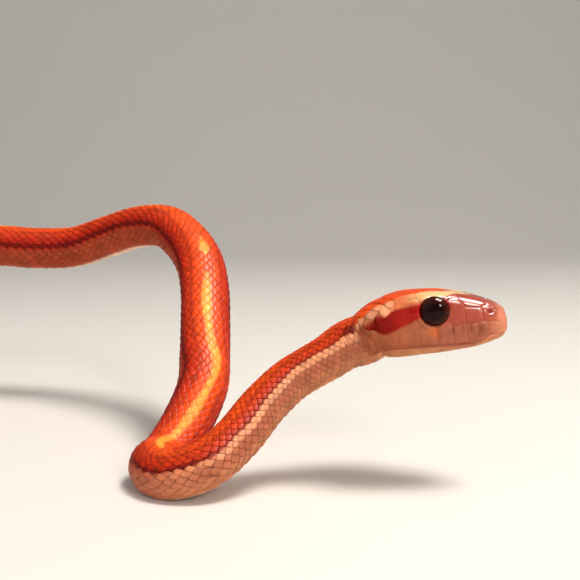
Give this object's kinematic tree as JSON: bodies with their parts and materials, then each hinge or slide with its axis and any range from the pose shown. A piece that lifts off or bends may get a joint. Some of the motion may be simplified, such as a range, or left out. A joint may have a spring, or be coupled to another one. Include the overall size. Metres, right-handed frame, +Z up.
{
  "type": "corn snake",
  "caption": "Young corn snake, life-size still model: head raised on a slender neck, forebody turned on the floor, one high loop, rear body lying in curves.",
  "frame": {"origin": "on the floor under the middle of the model's bounding box", "axes": "+X from the tail end towards the head, along the longest extent; +Z up from the floor, the shortest extent; +Y away from the side that the picture shows"},
  "size_m": [0.1582, 0.0658, 0.0274],
  "materials": {
    "skin": "smooth scales with a soft sheen, orange bands over paler red-orange sides",
    "head_skin": "smooth glossy head shields",
    "jaw_skin": "smooth pale lip scales",
    "eye": "clear glossy spectacle over a dark iris"
  },
  "bodies": {
    "root": {"head": "head_skin", "lower_jaw": "jaw_skin", "eye_left": "eye", "eye_right": "eye", "neck": "skin", "front_bend": "skin", "loop_rise": "skin", "loop_top": "skin", "loop_rear": "skin", "body_drop": "skin", "midbody_front": "skin", "midbody_rear": "skin", "hindbody_front": "skin", "hindbody_middle": "skin", "hindbody_rear": "skin", "vent_length": "skin", "tail": "skin"}
  },
  "joints": []
}
